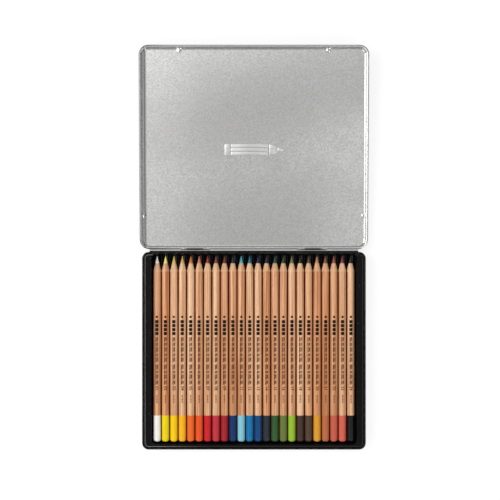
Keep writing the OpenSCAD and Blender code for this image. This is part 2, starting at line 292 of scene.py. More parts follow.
# %% Shared effect: cedar grain
cedar, enter, leave = start_group(
    "cedar_grain", [("Vector", VECTOR, None), ("Seed", VALUE, 0.0)],
    [("Rings", VALUE), ("Fibres", VALUE), ("Pores", VALUE)])
shift = put(cedar, "CombineXYZ", {"X": calc(cedar, "MULTIPLY", enter["Seed"], 0.137),
                                  "Y": calc(cedar, "MULTIPLY", enter["Seed"], 0.291),
                                  "Z": calc(cedar, "MULTIPLY", enter["Seed"], 0.053)}).outputs[0]
slat = put(cedar, "VectorMath", {0: enter["Vector"], 1: shift}, operation="ADD").outputs[0]
sway = noise(cedar, stretched(cedar, slat, (40, 14, 40)), 1.0, 2.0)
bent = put(cedar, "VectorMath", {0: slat, 1: put(cedar, "CombineXYZ", {
    "X": calc(cedar, "MULTIPLY", sway, 0.003)}).outputs[0]}, operation="ADD").outputs[0]
rings = noise(cedar, stretched(cedar, bent, (640, 7, 300)), 1.0, 2.5, 0.55, 0.35)
cedar.links.new(between(cedar, rings, 0.38, 0.62), leave["Rings"])
fibres = noise(cedar, stretched(cedar, bent, (2900, 45, 2900)), 1.0, 3.0, 0.6)
cedar.links.new(between(cedar, fibres, 0.3, 0.72), leave["Fibres"])
pores = noise(cedar, stretched(cedar, bent, (4200, 330, 4200)), 1.0, 1.0)
cedar.links.new(between(cedar, pores, 0.66, 0.74), leave["Pores"])
print("cedar grain:", len(cedar.nodes), "nodes")

# %% [markdown]
# Each material starts the same way: a Principled shader, and the object's own coordinates in
# metres. A number that is the same all over stands on the shader's own socket.

# %% Helper for materials
def start_material(name, **constant):
    material = bpy.data.materials.new(name)
    material.use_nodes = True
    tree = material.node_tree
    tree.nodes.clear()
    output = tree.nodes.new("ShaderNodeOutputMaterial")
    shader = tree.nodes.new("ShaderNodeBsdfPrincipled")
    tree.links.new(shader.outputs[0], output.inputs["Surface"])
    for title, value in constant.items():
        shader.inputs[title.replace("_", " ")].default_value = value
    place = tree.nodes.new("ShaderNodeTexCoord").outputs["Object"]
    axes = put(tree, "SeparateXYZ", {0: place}).outputs
    return material, tree, shader, place, axes


def bump(tree, shader, height, depth):
    """Raises the surface by depth metres where height is 1."""
    node = put(tree, "Bump", {"Height": height, "Distance": depth})
    tree.links.new(node.outputs[0], shader.inputs["Normal"])


def feed(tree, shader, **sockets):
    for title, value in sockets.items():
        tree.links.new(value, shader.inputs[title.replace("_", " ")])


print("material helper ready")

# %% [markdown]
# The base is enamelled outside, and its edge is curled inward, so its rim is black too. The rim's
# crown is what hands and shelves rub, so the rub fades in over its topmost third of a millimetre.

# %% Finish of the base tin
base_enamel, tree, shader, place, axes = start_material(
    "black_enamelled_base", IOR=1.5, Specular_IOR_Level=0.15)
crown_depth = 0.35 * MM
crown = between(tree, axes["Z"], rim_top - crown_depth, rim_top - 0.02 * MM)
skin = use_group(tree, enamel, {"Vector": place, "Rub": calc(tree, "MULTIPLY", crown, 0.25)})
feed(tree, shader, Base_Color=skin["Color"], Roughness=skin["Roughness"])
bump(tree, shader, skin["Height"], 0.008 * MM)
print("base rim at", round(rim_top / MM, 2), "mm")

# %% [markdown]
# The tray is black plastic sheet drawn down over a mould: satin where it was stretched into the
# channels, with the mould's fine grain on the flange, and a little dust in the corners. It is
# painted darker towards the channel floors, a painted shade. The small bead that runs round the
# flange stands proud, and its crown carries a painted highlight: a pale line, strongest at the
# left.

# %% Finish of the tray
tray_plastic, tree, shader, place, axes = start_material(
    "black_tray_plastic", IOR=1.46, Specular_IOR_Level=0.15)
marks = use_group(tree, handling, {"Vector": place, "Scratch Scale": 95.0, "Speck Scale": 650.0})
mould = noise(tree, place, 2200.0, 2.0, 0.6)
channel_floor, flange_height = 3 * MM, 11 * MM
# Painted shade: the plastic is painted darker the deeper it lies, towards the channel floors.
high = between(tree, axes["Z"], channel_floor, flange_height)
color = mix(tree, high, rgb(0.02, 0.02, 0.02), rgb(0.035, 0.034, 0.034))
# Painted highlight: the bead's crown is painted pale, strongest at the left and fading to the
# right.
bead_foot, bead_crown = 11.34 * MM, 11.47 * MM
brightest_x, faintest_x = -95 * MM, -40 * MM
highlight_strength = spread(tree, between(tree, axes["X"], faintest_x, brightest_x), 0.15, 1.0)
bead = calc(tree, "MULTIPLY", between(tree, axes["Z"], bead_foot, bead_crown), highlight_strength)
color = mix(tree, calc(tree, "MULTIPLY", bead, spread(tree, mould, 0.4, 1.0)), color,
            rgb(0.6, 0.6, 0.6))
color = mix(tree, calc(tree, "MULTIPLY", marks["Scratches"], 0.25), color, rgb(0.34, 0.34, 0.35))
color = mix(tree, calc(tree, "MULTIPLY", marks["Specks"], 0.6), color, rgb(0.45, 0.42, 0.38))
feed(tree, shader, Base_Color=color, Roughness=calc(
    tree, "ADD", spread(tree, marks["Smudges"], 0.2, 0.3),
    calc(tree, "MULTIPLY", mould, 0.06)))
bump(tree, shader, mould, 0.012 * MM)
print("tray finish ready")

# %% [markdown]
# The lid is one pressed sheet: enamelled outside, bare tinplate inside, and curled outward, so
# its roll shows bare tin all round. Which side a point lies on is worked out from the shape: the
# open lid is turned back about the pin, and the distance from the closed lid's outer skin, a box
# with round edges, says how deep in the sheet the point is. The box's sizes repeat the source's.

# %% Shared effect: depth in the lid's sheet
lid_side, enter, leave = start_group(
    "lid_side", [("Vector", VECTOR, None)],
    [("Outside", VALUE), ("Past Outline", VALUE), ("Closed Place", VECTOR)])
closed = put(lid_side, "VectorRotate", {"Vector": enter["Vector"], "Center": tuple(pin),
                                        "Angle": open_angle}, rotation_type="X_AXIS").outputs[0]
lid_side.links.new(closed, leave["Closed Place"])
lid_axes = put(lid_side, "SeparateXYZ", {0: closed}).outputs
half_w, half_d = 105.595 * MM, 93.4 * MM
corner_r, bend_r = 7.1 * MM, 2 * MM
side_x = calc(lid_side, "SUBTRACT", calc(lid_side, "ABSOLUTE", lid_axes["X"]), half_w - corner_r)
side_y = calc(lid_side, "SUBTRACT", calc(lid_side, "ABSOLUTE", lid_axes["Y"]), half_d - corner_r)
round_part = reach(lid_side, calc(lid_side, "MAXIMUM", side_x, 0.0),
                   calc(lid_side, "MAXIMUM", side_y, 0.0))
flat_part = calc(lid_side, "MINIMUM", calc(lid_side, "MAXIMUM", side_x, side_y), 0.0)
outline = calc(lid_side, "SUBTRACT", calc(lid_side, "ADD", round_part, flat_part), corner_r)
over_x = calc(lid_side, "ADD", outline, bend_r)
over_z = calc(lid_side, "SUBTRACT", lid_axes["Z"], lid_height - bend_r)
bend_part = reach(lid_side, calc(lid_side, "MAXIMUM", over_x, 0.0),
                  calc(lid_side, "MAXIMUM", over_z, 0.0))
plate_part = calc(lid_side, "MINIMUM", calc(lid_side, "MAXIMUM", over_x, over_z), 0.0)
depth = calc(lid_side, "SUBTRACT", calc(lid_side, "ADD", bend_part, plate_part), bend_r)
outer = calc(lid_side, "GREATER_THAN", depth, -lid_sheet / 2)
lid_side.links.new(outline, leave["Past Outline"])
print("depth in the sheet:", len(lid_side.nodes), "nodes")

# %% [markdown]
# Four small dents are pressed into the skirt from outside, to catch the base's rim. There the
# sheet leaves the box above, so their outer side is found by the rod that pressed them: a point
# inside the rod's round end is enamel. The enamel stops where the skirt meets the roll.

# %% Shared effect: the outer side, with its dents
front_dent_x, side_dent_y = 70 * MM, half_d - 30 * MM
rod_r, rod_half = 2.86 * MM, 1 * MM
rod_out = 2.31 * MM
skirt_foot = pin.z + 1.204 * MM
roll_crown, skirt_skin = 8.75 * MM, 0.09 * MM


def dent(tree, along, out, up):
    """1 on the outer side of a dent, which was pressed in with a round-ended rod."""
    past_rod = put(tree, "CombineXYZ", {"X": past(tree, along, rod_half), "Y": out, "Z": up})
    away = put(tree, "VectorMath", {0: past_rod.outputs[0]}, operation="LENGTH").outputs["Value"]
    return calc(tree, "LESS_THAN", away, rod_r)


rod_up = calc(lid_side, "SUBTRACT", lid_axes["Z"], (skirt_foot + lid_height - bend_r) / 2)
size_x = calc(lid_side, "ABSOLUTE", lid_axes["X"])
front_dents = dent(lid_side, calc(lid_side, "SUBTRACT", size_x, front_dent_x),
                   calc(lid_side, "ADD", lid_axes["Y"], half_d + rod_out), rod_up)
side_dents = dent(lid_side, calc(lid_side, "SUBTRACT", lid_axes["Y"], side_dent_y),
                  calc(lid_side, "SUBTRACT", size_x, half_w + rod_out), rod_up)
above_roll = calc(lid_side, "GREATER_THAN", lid_axes["Z"], roll_crown)
on_skirt = calc(lid_side, "LESS_THAN", outline, skirt_skin)
outer = calc(lid_side, "MAXIMUM", outer, calc(lid_side, "MAXIMUM", front_dents, side_dents))
outer = calc(lid_side, "MULTIPLY", outer, calc(lid_side, "MULTIPLY", above_roll, on_skirt))
lid_side.links.new(outer, leave["Outside"])
print("lid side:", len(lid_side.nodes), "nodes")

# %% [markdown]
# Painted shade at the hinge: the knuckles and the slit beside them, where the hinge's gap lies in
# shadow, are painted dark, widest at the middle of each hinge and tapering out at its ends.

# %% Shared effect: painted shade at the hinge
hinge_shade_group, enter, leave = start_group("hinge_painted_shade", [("Vector", VECTOR, None)], [("Mask", VALUE)])
hinge_shade_axes = put(hinge_shade_group, "SeparateXYZ", {0: enter["Vector"]}).outputs
hinge_middle, hinge_half, slit_half = 55.5 * MM, 14.5 * MM, 1.25 * MM
from_hinge = calc(hinge_shade_group, "ABSOLUTE", calc(hinge_shade_group, "SUBTRACT", calc(
    hinge_shade_group, "ABSOLUTE", hinge_shade_axes["X"]), hinge_middle))
from_pin = reach(hinge_shade_group, calc(hinge_shade_group, "SUBTRACT", hinge_shade_axes["Y"], pin.y),
                 calc(hinge_shade_group, "SUBTRACT", hinge_shade_axes["Z"], pin.z))
along = calc(hinge_shade_group, "DIVIDE", from_hinge, hinge_half)
taper = calc(hinge_shade_group, "SUBTRACT", 1.0, calc(hinge_shade_group, "MULTIPLY", along, along))
inside = calc(hinge_shade_group, "SUBTRACT", calc(hinge_shade_group, "MULTIPLY", taper, slit_half), from_pin)
hinge_shade_group.links.new(between(hinge_shade_group, inside, -0.1 * MM, 0.15 * MM), leave["Mask"])
print("hinge grime:", len(hinge_shade_group.nodes), "nodes")

# %% [markdown]
# Three things happen at the border of the lid. The plate's left margin is gently dished towards
# the wall. The four dents bulge into the bend as small dimples. And the roll is painted grey at
# the left and along the far edge, a painted shade. The first two are heights for the bump: each
# is a smooth hill whose sides turn the light.

# %% Border of the lid
lid_finish, tree, shader, place, axes = start_material(
    "lid_tinplate_and_enamel", Specular_IOR_Level=0.25)
side = use_group(tree, lid_side, {"Vector": place})
folded = put(tree, "SeparateXYZ", {0: side["Closed Place"]}).outputs
mirrored = put(tree, "CombineXYZ", {"X": calc(tree, "ABSOLUTE", folded["X"]), "Y": folded["Y"],
                                    "Z": folded["Z"]}).outputs[0]
dimple_r, dimple_height = 2.7 * MM, 0.7 * MM
front_spot = (front_dent_x, -91.2 * MM, 13.2 * MM)
side_spot = (103.6 * MM, side_dent_y, 13.2 * MM)
dimples = [between(tree, put(tree, "VectorMath", {0: mirrored, 1: spot},
                             operation="DISTANCE").outputs["Value"], dimple_r, 0.2 * MM)
           for spot in (front_spot, side_spot)]
dimple = calc(tree, "MAXIMUM", *dimples)
dish_start, dish_end, dish_height = -101.0 * MM, -103.6 * MM, 1.1 * MM
dish = put(tree, "MapRange", {"Value": folded["X"], "From Min": dish_start,
                              "From Max": dish_end}).outputs[0]
dish = calc(tree, "MULTIPLY", dish, dish)
# The roll's painted shade: full at the left, half along the far edge.
at_left = between(tree, folded["X"], -60 * MM, -98 * MM)
at_front = calc(tree, "MULTIPLY", between(tree, folded["Y"], -80 * MM, -92 * MM), 0.5)
on_roll = between(tree, side["Past Outline"], 0.3 * MM, 1.0 * MM)
roll_shade = calc(tree, "MULTIPLY", on_roll, calc(tree, "MAXIMUM", at_left, at_front))
print("dish and dimples ready:", len(tree.nodes), "nodes")

# %% [markdown]
# Inside, the lid is tinplate with the scratches and smudges of use, and painted shade at the
# hinge.
# Outside it is enamel. The mask from above parts the two, also in how metallic they are.

# %% Finish of the lid
tin = use_group(tree, tinplate, {"Vector": place, "Grain": 1.0})
marks = use_group(tree, handling, {"Vector": place, "Scratch Scale": 48.0})
dark = use_group(tree, hinge_shade_group, {"Vector": place})["Mask"]
skin = use_group(tree, enamel, {"Vector": place, "Rub": 0.1})
color = mix(tree, calc(tree, "MULTIPLY", marks["Scratches"], 0.3), tin["Color"],
            rgb(0.97, 0.97, 0.96))
color = mix(tree, calc(tree, "MULTIPLY", marks["Smudges"], 0.12), color, rgb(0.7, 0.69, 0.67))
# Painted shade: the lid's ears at the hinge are painted dark.
color = mix(tree, calc(tree, "MULTIPLY", dark, 0.75), color, rgb(0.3, 0.29, 0.28))
# Painted shade: the roll is painted grey at the left and along the far edge.
color = mix(tree, roll_shade, color, rgb(0.54, 0.54, 0.54))
plate_skin, bend_depth = 0.35 * MM, 1.2 * MM
wall = between(tree, folded["Z"], lid_height - plate_skin, lid_height - bend_depth)
rough = calc(tree, "ADD", tin["Roughness"], calc(tree, "MULTIPLY", marks["Smudges"], 0.04))
rough = calc(tree, "ADD", rough, calc(tree, "MULTIPLY", wall, 0.2))
feed(tree, shader, Base_Color=mix(tree, side["Outside"], color, skin["Color"]),
     Metallic=calc(tree, "SUBTRACT", 1.0, side["Outside"]),
     Roughness=mix_value(tree, side["Outside"], rough, skin["Roughness"]))
grain_depth = 0.03 * MM
hills = calc(tree, "ADD", calc(tree, "MULTIPLY", dimple, dimple_height / grain_depth),
             calc(tree, "MULTIPLY", dish, dish_height / grain_depth))
relief = calc(tree, "ADD", tin["Height"], hills)
bump(tree, shader, mix_value(tree, side["Outside"], relief, skin["Height"]), grain_depth)
print("lid finish:", len(tree.nodes), "nodes")

# %% [markdown]
# The hinge rail is the same tinplate, polished a little by the lid's roll, and its pins are drawn
# steel wire, so their lines run along X.

# %% Finish of the hinge
rail_tin, tree, shader, place, axes = start_material("hinge_rail_tinplate", Metallic=1.0)
tin = use_group(tree, tinplate, {"Vector": place, "Grain": 1.6})
dark = use_group(tree, hinge_shade_group, {"Vector": place})["Mask"]
drawn = noise(tree, stretched(tree, place, (120, 3500, 3500)), 1.0, 2.0)
color = mix(tree, calc(tree, "MULTIPLY", drawn, 0.35), tin["Color"], rgb(0.66, 0.65, 0.64))
# Painted shade: the knuckles and the slit are painted dark, and made rougher there.
color = mix(tree, calc(tree, "MULTIPLY", dark, 0.8), color, rgb(0.3, 0.29, 0.28))
feed(tree, shader, Base_Color=color, Roughness=mix_value(tree, dark, tin["Roughness"], 0.42))
bump(tree, shader, drawn, 0.01 * MM)

wire_steel, tree, shader, place, axes = start_material("drawn_steel_wire", Metallic=1.0)
drawn = noise(tree, stretched(tree, place, (90, 6000, 6000)), 1.0, 2.0)
feed(tree, shader, Base_Color=mix(tree, drawn, rgb(0.5, 0.49, 0.47), rgb(0.75, 0.74, 0.72)),
     Roughness=spread(tree, drawn, 0.22, 0.38))
bump(tree, shader, drawn, 0.006 * MM)
print("hinge finishes ready")

# %% [markdown]
# One row of the table for each pencil, from left to right: the lacquer of its dipped end, the
# color of its lead, and how deep its cedar is. The colors are named as a maker of pencils would
# name them.

# %% The row of pencils
pale, fair, honey, deep = 1.0, 0.78, 0.45, 0.12
row = [
    ("white", (0.96, 0.95, 0.93), (0.99, 0.98, 0.95), honey),
    ("lemon", (0.93, 0.82, 0.03), (1.0, 0.93, 0.42), deep),
    ("yellow", (0.97, 0.79, 0.02), (0.89, 0.75, 0.32), fair),
    ("amber", (0.96, 0.70, 0.10), (0.90, 0.67, 0.36), pale),
    ("orange", (0.91, 0.41, 0.14), (0.85, 0.46, 0.14), pale),
    ("vermilion", (0.90, 0.33, 0.12), (0.82, 0.48, 0.33), honey),
    ("red", (0.78, 0.12, 0.16), (0.64, 0.20, 0.17), pale),
    ("rose_red", (0.74, 0.20, 0.24), (0.54, 0.22, 0.26), pale),
    ("wine", (0.63, 0.12, 0.15), (0.48, 0.16, 0.08), honey),
    ("indigo", (0.04, 0.19, 0.40), (0.12, 0.11, 0.16), honey),
    ("sky_blue", (0.51, 0.77, 0.83), (0.24, 0.70, 0.76), honey),
    ("process_blue", (0.02, 0.46, 0.66), (0.08, 0.46, 0.58), pale),
    ("deep_blue", (0.02, 0.27, 0.48), (0.05, 0.11, 0.26), pale),
    ("slate", (0.13, 0.18, 0.21), (0.15, 0.13, 0.17), deep),
    ("dark_green", (0.18, 0.34, 0.18), (0.12, 0.30, 0.23), honey),
    ("olive", (0.40, 0.46, 0.22), (0.17, 0.28, 0.16), honey),
    ("leaf_green", (0.58, 0.74, 0.18), (0.42, 0.47, 0.28), fair),
    ("bistre", (0.25, 0.19, 0.16), (0.13, 0.09, 0.08), pale),
    ("umber", (0.31, 0.24, 0.19), (0.35, 0.29, 0.24), honey),
    ("ochre", (0.86, 0.60, 0.16), (0.80, 0.56, 0.34), deep),
    ("sienna", (0.72, 0.41, 0.25), (0.54, 0.34, 0.20), deep),
    ("terracotta", (0.77, 0.36, 0.28), (0.64, 0.32, 0.20), honey),
    ("coral", (0.83, 0.38, 0.31), (0.54, 0.20, 0.27), pale),
    ("black", (0.08, 0.07, 0.08), (0.09, 0.08, 0.08), pale),
]
print("pencils in the row:", len(row))

# %% [markdown]
# A casing has three finishes in one piece of wood. The barrel is cedar under a clear varnish, the
# cone is bare cedar with the cutter's rings on it, and the blunt end is dipped in glossy lacquer,
# whose edge creeps a little along the grain. Two masks along the pencil part them. Where two
# pencils nearly touch, the flanks are painted dark brown and lose their coat: a painted shade that
# makes the slit between them read dark and warm.

# %% Finish of a pencil's casing
def casing_finish(number, name, lacquer, depth_of_tone):
    material, tree, shader, place, axes = start_material(
        "cedar_and_" + name + "_lacquer", IOR=1.5,
        Specular_IOR_Level=0.1, Coat_Roughness=0.12, Coat_IOR=1.5)
    grain = use_group(tree, cedar, {"Vector": place, "Seed": float(number)})
    creep = calc(tree, "MULTIPLY", calc(tree, "SUBTRACT", grain["Fibres"], 0.5), 0.25 * MM)
    along = calc(tree, "ADD", axes["Y"], creep)
    dipped = between(tree, along, dip_edge + 0.05 * MM, dip_edge - 0.05 * MM)
    bare = between(tree, axes["Y"], cone_edge - 0.05 * MM, cone_edge + 0.1 * MM)
    light = mix(tree, depth_of_tone, rgb(0.89, 0.63, 0.43), rgb(0.95, 0.78, 0.62))
    dark = mix(tree, depth_of_tone, rgb(0.70, 0.42, 0.24), rgb(0.82, 0.59, 0.41))
    wood = mix(tree, grain["Rings"], light, dark)
    wood = mix(tree, calc(tree, "MULTIPLY", grain["Fibres"], 0.3), wood, rgb(0.70, 0.42, 0.25))
    wood = mix(tree, calc(tree, "MULTIPLY", grain["Pores"], 0.5), wood, rgb(0.45, 0.25, 0.14))
    fresh = mix(tree, 0.35, wood, rgb(0.96, 0.83, 0.68))
    wood = mix(tree, bare, wood, fresh)
    thin = noise(tree, place, 300.0, 2.0)
    paint = mix(tree, calc(tree, "MULTIPLY", thin, 0.12), rgb(*lacquer),
                rgb(*[c * 0.9 for c in lacquer]))
    cutter = noise(tree, stretched(tree, place, (300, 5200, 300)), 1.0, 1.0)
    rough = mix_value(tree, bare, spread(tree, grain["Fibres"], 0.34, 0.46),
                      spread(tree, cutter, 0.6, 0.75))
    rough = mix_value(tree, dipped, rough, spread(tree, thin, 0.24, 0.34))
    coat = calc(tree, "MULTIPLY", calc(tree, "SUBTRACT", 1.0, bare),
                mix_value(tree, dipped, 0.85, 0.35))
    # Painted shade: the flanks, level with the axis, are painted dark brown and lose their coat.
    off_axis = calc(tree, "ABSOLUTE", calc(tree, "SUBTRACT", axes["Z"], axis_height))
    flank = between(tree, calc(tree, "DIVIDE", off_axis, barrel_r), 0.66, 0.3)
    gap_shade = calc(tree, "MULTIPLY", flank, calc(tree, "SUBTRACT", 1.0, bare))
    coat = calc(tree, "MULTIPLY", coat, calc(tree, "SUBTRACT", 1.0, gap_shade))
    height = mix_value(tree, bare, calc(tree, "MULTIPLY", grain["Fibres"], 0.35), cutter)
    height = mix_value(tree, dipped, height, calc(tree, "MULTIPLY", thin, 0.3))
    bump(tree, shader, height, 0.03 * MM)
    color = mix(tree, dipped, wood, paint)
    # The painted shade on the flanks goes into the color here.
    color = mix(tree, calc(tree, "MULTIPLY", gap_shade, 0.95), color, rgb(0.33, 0.07, 0.0))
    feed(tree, shader, Base_Color=color, Roughness=rough, Coat_Weight=coat)
    return material


print("casing finish ready, dip starts at", round(dip_edge / MM, 1), "mm")

# %% [markdown]
# The lead is pigment in wax: softly shiny, turned by the same cutter as the cone, with a few
# crumbs of pigment torn out of it.

# %% Finish of a lead
def lead_finish(name, pigment):
    material, tree, shader, place, axes = start_material(
        name + "_lead", IOR=1.45, Coat_Weight=0.15, Coat_Roughness=0.3)
    cutter = noise(tree, stretched(tree, place, (500, 6500, 500)), 1.0, 1.5)
    crumbs = between(tree, noise(tree, place, 2600.0, 2.0, 0.6), 0.6, 0.72)
    color = mix(tree, calc(tree, "MULTIPLY", cutter, 0.25), rgb(*pigment),
                rgb(*[min(1.0, c * 0.82 + 0.02) for c in pigment]))
    color = mix(tree, calc(tree, "MULTIPLY", crumbs, 0.35), color,
                rgb(*[c * 0.7 for c in pigment]))
    feed(tree, shader, Base_Color=color, Roughness=spread(tree, cutter, 0.38, 0.55))
    bump(tree, shader, calc(tree, "SUBTRACT", cutter, crumbs), 0.03 * MM)
    return material


print("lead finish ready")

# %% [markdown]
# A solid from the frame already has one material slot, which holds a plain color. Its shape stays
# as it is, and the finish simply takes the place of that color.

# %% Give the solids their finishes
def dress(node, material):
    nodes[node].material_slots[0].material = material


dress("base_tin", base_enamel)
dress("pencil_tray", tray_plastic)
dress("lid_tin", lid_finish)
dress("hinge_rail", rail_tin)
dress("hinge_pin_left", wire_steel)
dress("hinge_pin_right", wire_steel)
for number, (name, lacquer, pigment, cedar_tone) in enumerate(row, 1):
    dress(f"pencil_casing_{number}", casing_finish(number, name, lacquer, cedar_tone))
    dress(f"pencil_lead_{number}", lead_finish(name, pigment))
print("dressed", len(nodes), "solids with", len(bpy.data.materials), "materials")

# %% [markdown]
# An operator acts on everything that is selected, so each helper first selects what it is given
# and nothing else. The frame leaves its own solids selected, so they are deselected here too.

# %% Helpers for modelling
def choose(*things):
    """Selects these objects alone, and makes the first one active."""
    bpy.ops.object.select_all(action="DESELECT")
    for thing in things:
        thing.select_set(True)
    if things:
        bpy.context.view_layer.objects.active = things[0]


def apply_all(thing):
    """Puts an object's place, turn and scale into its mesh."""
    choose(thing)
    bpy.ops.object.transform_apply(location=True, rotation=True, scale=True)


def join(things, name):
    choose(*things)
    bpy.ops.object.join()
    things[0].name = things[0].data.name = name
    return things[0]


def copy_of(thing, name):
    twin = thing.copy()
    twin.data = thing.data.copy()
    twin.name = twin.data.name = name
    bpy.context.scene.collection.objects.link(twin)
    return twin


choose()
print("modelling helpers ready")

# %% [markdown]
# The print on a pencil is a thin film of ink. Here it is plain: a dot, four bold blocks, a fine
# broken rule and the pencil's place in the row. Stamped ink dries unevenly, so its tone and gloss
# follow a fine noise.

# %% Inks
def ink(name, color, roughness):
    material, tree, shader, place, axes = start_material(
        name, IOR=1.5, Specular_IOR_Level=0.15)
    dry = noise(tree, place, 3200.0, 2.0, 0.6)
    thin = [c * 0.8 + 0.04 for c in color]
    feed(tree, shader, Base_Color=mix(tree, dry, rgb(*color), rgb(*thin)),
         Roughness=spread(tree, dry, roughness, roughness + 0.15))
    bump(tree, shader, dry, 0.005 * MM)
    return material


black_ink = ink("black_print", (0.05, 0.03, 0.03), 0.4)
brown_ink = ink("brown_print", (0.30, 0.16, 0.09), 0.45)
print("inks ready")

# %% [markdown]
# Each mark starts as a plane that takes its size from where it starts and ends along the pencil,
# in millimetres. Its corners are rounded by a bevel in edit mode.

# %% Helpers for flat marks
def flat_mark(width, start, end, material, rounding=0.0):
    bpy.ops.mesh.primitive_plane_add(size=1, location=(0, (start + end) / 2 * MM, 0))
    mark = bpy.context.object
    mark.scale = (width * MM, (end - start) * MM, 1)
    apply_all(mark)
    mark.data.materials.append(material)
    if rounding:
        bpy.ops.object.mode_set(mode="EDIT")
        bpy.ops.mesh.select_all(action="SELECT")
        bpy.ops.mesh.bevel(offset=rounding * MM, segments=3, affect="VERTICES")
        bpy.ops.object.mode_set(mode="OBJECT")
    return mark


def shifted(mark, across):
    mark.location.x = across * MM
    apply_all(mark)
    return mark


print("mark helpers ready")

# %% [markdown]
# All pencils carry the same marks, so one flat set is made and copied. The dashes differ in
# length, and those of the right-hand row stop a little short of those beside them.

# %% One set of marks, flat
dot, block, dash_width, row_offset = 2.1, 3.1, 1.0, 0.68
marks_on_barrel = [flat_mark(2.2, 30.4, 30.4 + dot, black_ink, 0.8)]
for start in (25.4, 21.7, 18.0, 14.3):
    marks_on_barrel.append(flat_mark(block, start, start + block, black_ink, 0.6))
dash = 12.4
for length, gap in ((4.5, 0.6), (3.7, 0.6), (5.2, 0.7), (3.1, 0.6), (4.8, 1.8), (5.3, 0.7),
                    (2.7, 0.6), (5.1, 0.7), (4.0, 0.8)):
    for across, share in ((-row_offset, 1.0), (row_offset, 0.8)):
        mark = flat_mark(dash_width, dash - length * share, dash, brown_ink)
        marks_on_barrel.append(shifted(mark, across))
    dash -= length + gap
for tick in range(6):
    start = -42.0 - 1.3 * tick
    marks_on_barrel.append(flat_mark(1.5, start - 0.6, start, brown_ink))
flat_marks = join(marks_on_barrel, "flat_marks")
print("marks:", len(flat_marks.data.polygons), "faces, last dash ends at", round(dash, 1))

# %% [markdown]
# A flat mark has to bend round a barrel, so it is first cut into narrow strips along the pencil.
# The number is a text object made a mesh, and turned so that it reads along the pencil.

# %% Strips and numbers
strip = 0.4 * MM
digit_height, digit_place = 4.0 * MM, -35.7 * MM


def cut_across(thing):
    """Lines along a flat mark, so that it can bend round the barrel."""
    choose(thing)
    bpy.ops.object.mode_set(mode="EDIT")
    for step in range(-4, 5):
        bpy.ops.mesh.select_all(action="SELECT")
        bpy.ops.mesh.bisect(plane_co=(step * strip, 0, 0), plane_no=(1, 0, 0))
    bpy.ops.object.mode_set(mode="OBJECT")


def flat_number(number):
    bpy.ops.object.text_add(location=(0, 0, 0))
    text = bpy.context.object
    text.data.body = f"{number:02d}"
    text.data.size = digit_height
    text.data.offset = 0.07 * MM
    text.data.align_x = text.data.align_y = "CENTER"
    text.data.resolution_u = 3
    choose(text)
    bpy.ops.object.convert(target="MESH")
    text = bpy.context.object
    text.rotation_euler.z = -math.pi / 2
    text.location.y = digit_place
    apply_all(text)
    text.data.materials.clear()
    text.data.materials.append(black_ink)
    return text


cut_across(flat_marks)
print("marks cut into", len(flat_marks.data.polygons), "faces")

# %% [markdown]
# For each pencil, the marks and its number are joined and put above it, and a Shrinkwrap modifier
# drops them straight down onto the barrel, a film of ink above the wood. Each print rides on its
# own pencil, so it is lifted out with it.

# %% Marks laid on each barrel
ink_film = 0.02 * MM
for number in range(1, PENCILS + 1):
    x = first_x + (number - 1) * pitch
    digits = flat_number(number)
    cut_across(digits)
    marks = join([copy_of(flat_marks, "marks"), digits], f"pencil_print_{number}")
    marks.location = (x, 0, axis_height + barrel_r + 1 * MM)
    apply_all(marks)
    wrap = marks.modifiers.new("lay_on_barrel", "SHRINKWRAP")
    wrap.target = nodes[f"pencil_casing_{number}"]
    wrap.wrap_method = "PROJECT"
    wrap.use_project_z = True
    wrap.use_negative_direction = True
    wrap.use_positive_direction = False
    wrap.wrap_mode = "ABOVE_SURFACE"
    wrap.offset = ink_film
    bpy.ops.object.modifier_apply(modifier=wrap.name)
    bpy.ops.object.shade_smooth()
    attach(marks, f"pencil_{number}")
bpy.data.objects.remove(flat_marks)
print("prints laid on", PENCILS, "barrels")

# %% [markdown]
# A mark is pressed into the middle of the lid. The die burnished its crowns, so they are a little
# brighter than the sheet around them.

# %% Finish of the pressed mark
mark_finish, tree, shader, place, axes = start_material("burnished_tinplate", Metallic=1.0)
tin = use_group(tree, tinplate, {"Vector": place, "Grain": 0.8})
feed(tree, shader, Base_Color=mix(tree, 0.75, tin["Color"], rgb(0.97, 0.97, 0.965)),
     Roughness=calc(tree, "ADD", tin["Roughness"], 0.05))
bump(tree, shader, tin["Height"], 0.01 * MM)
print("mark finish ready")

# %% [markdown]
# The mark is made of low raised panels with soft edges. Each starts as a cube, its far end can be
# drawn together in edit mode, and a bevel softens it.

# %% Helper for raised panels
panel_depth, panel_edge = 0.72 * MM, 0.34 * MM


def raised_panel(start, end, low, high, narrow=1.0):
    """A low panel with soft edges; its far end is narrow times as wide as its near end."""
    bpy.ops.mesh.primitive_cube_add(size=1)
    panel = bpy.context.object
    panel.scale = ((end - start) * MM, (high - low) * MM, panel_depth)
    panel.location = ((start + end) / 2 * MM, (low + high) / 2 * MM, 0)
    apply_all(panel)
    if narrow < 1:
        bpy.ops.object.mode_set(mode="EDIT")
        bpy.ops.mesh.select_mode(type="VERT")
        bpy.ops.mesh.select_all(action="DESELECT")
        bpy.ops.object.mode_set(mode="OBJECT")
        for vertex in panel.data.vertices:
            vertex.select = vertex.co.x > (start + end) / 2 * MM
        bpy.ops.object.mode_set(mode="EDIT")
        bpy.ops.transform.resize(value=(1, narrow, 1))
        bpy.ops.object.mode_set(mode="OBJECT")
    soften = panel.modifiers.new("soften", "BEVEL")
    soften.width = panel_edge
    soften.segments = 4
    bpy.ops.object.modifier_apply(modifier=soften.name)
    return panel


print("panels are", round(panel_depth / MM, 2), "mm deep")

# %% [markdown]
# The mark is a plain pencil: an end cap, a barrel of three long facets and a sharpened tip. The
# panels are made at the closed lid's height, so deep that they stand proud inside and end within
# the sheet outside, and are then turned open with the lid.

